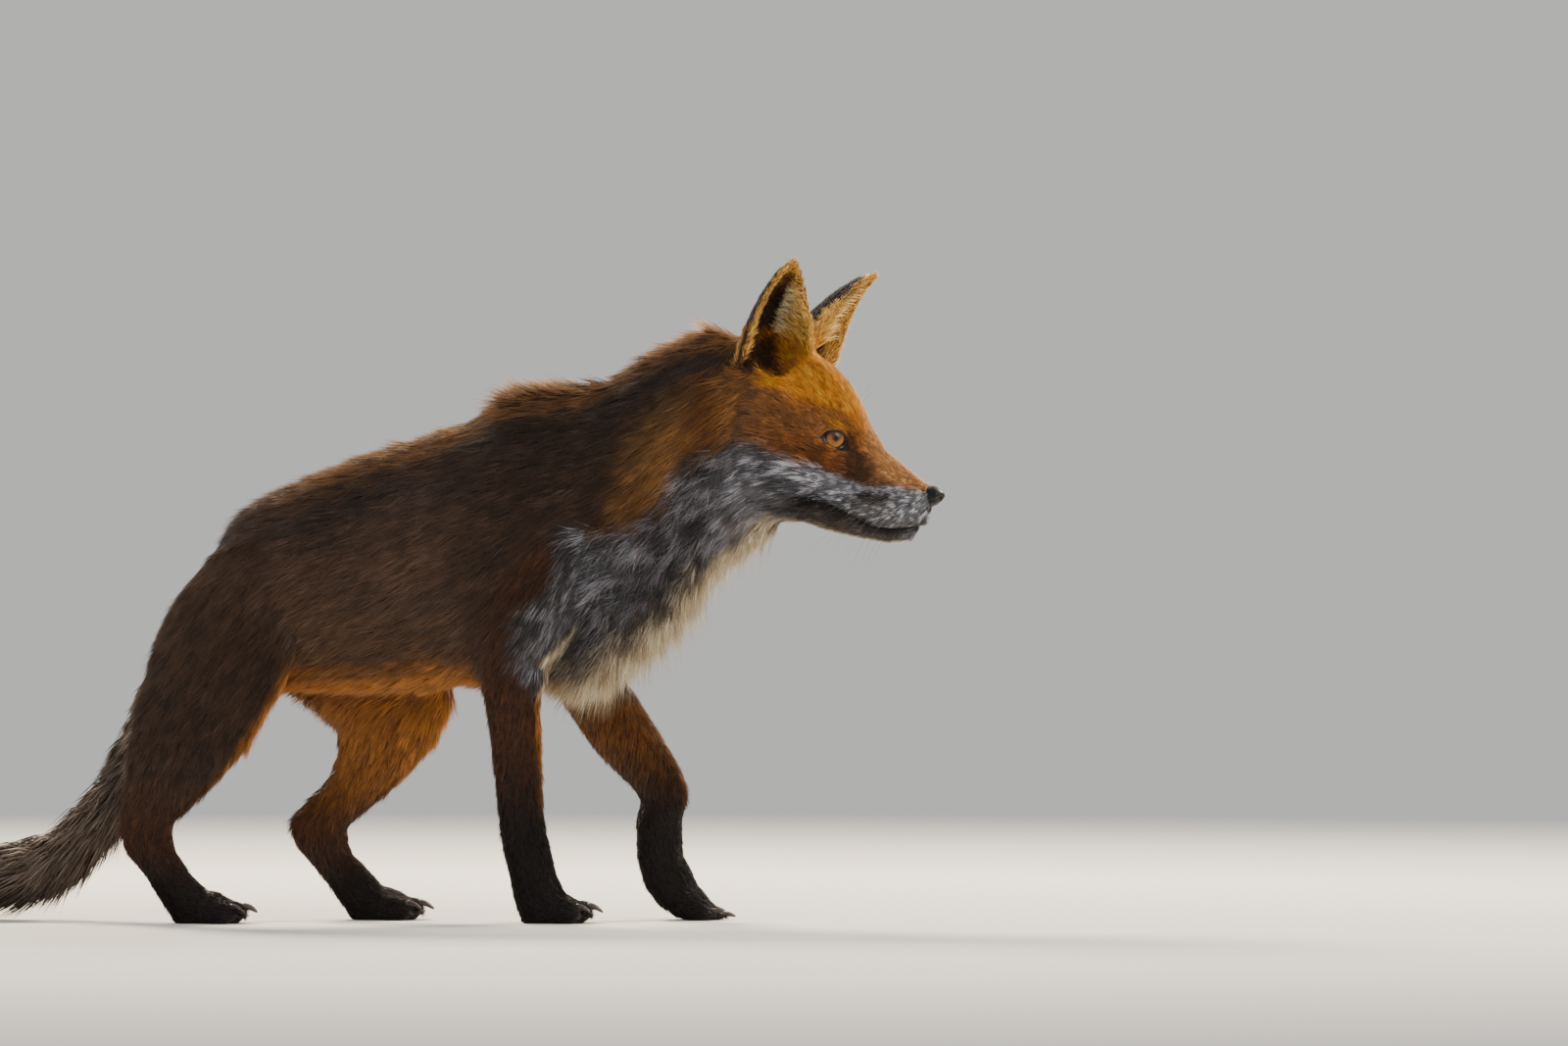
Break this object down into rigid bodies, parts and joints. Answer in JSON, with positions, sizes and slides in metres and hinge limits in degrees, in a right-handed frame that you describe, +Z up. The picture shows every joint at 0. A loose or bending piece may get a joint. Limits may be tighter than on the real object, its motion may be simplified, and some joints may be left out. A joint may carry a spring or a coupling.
{
  "type": "red fox",
  "caption": "Red fox, life size and still: walking low in profile with the head raised and turned a little, lean summer coat, slim tail trailing behind.",
  "frame": {"origin": "on the floor, under the middle of the model's bounding box", "axes": "+X towards the nose, +Y to the fox's left, +Z up"},
  "size_m": [0.7836, 0.1342, 0.4727],
  "materials": {
    "rufous_coat": "short rufous fur",
    "brown_coat": "grizzled brown fur",
    "pale_coat": "grey-white fur",
    "black_stocking": "short black fur",
    "ear_velvet": "velvet-short black fur",
    "eye": "wet amber eye",
    "nose_leather": "moist black nose skin"
  },
  "bodies": {
    "root": {"ear_left": "ear_velvet", "ear_right": "ear_velvet", "eye_left": "eye", "eye_right": "eye", "forearm_left": "rufous_coat", "forearm_right": "rufous_coat", "forepaw_left": "black_stocking", "forepaw_right": "black_stocking", "head": "rufous_coat", "hindpaw_left": "black_stocking", "hindpaw_right": "black_stocking", "lower_jaw": "pale_coat", "neck": "rufous_coat", "nose": "nose_leather", "shank_left": "rufous_coat", "shank_right": "rufous_coat", "tail_brush": "brown_coat", "tail_root": "rufous_coat", "tail_tip": "rufous_coat", "thigh_left": "rufous_coat", "thigh_right": "rufous_coat", "trunk": "brown_coat", "upper_arm_left": "rufous_coat", "upper_arm_right": "rufous_coat"}
  },
  "joints": []
}
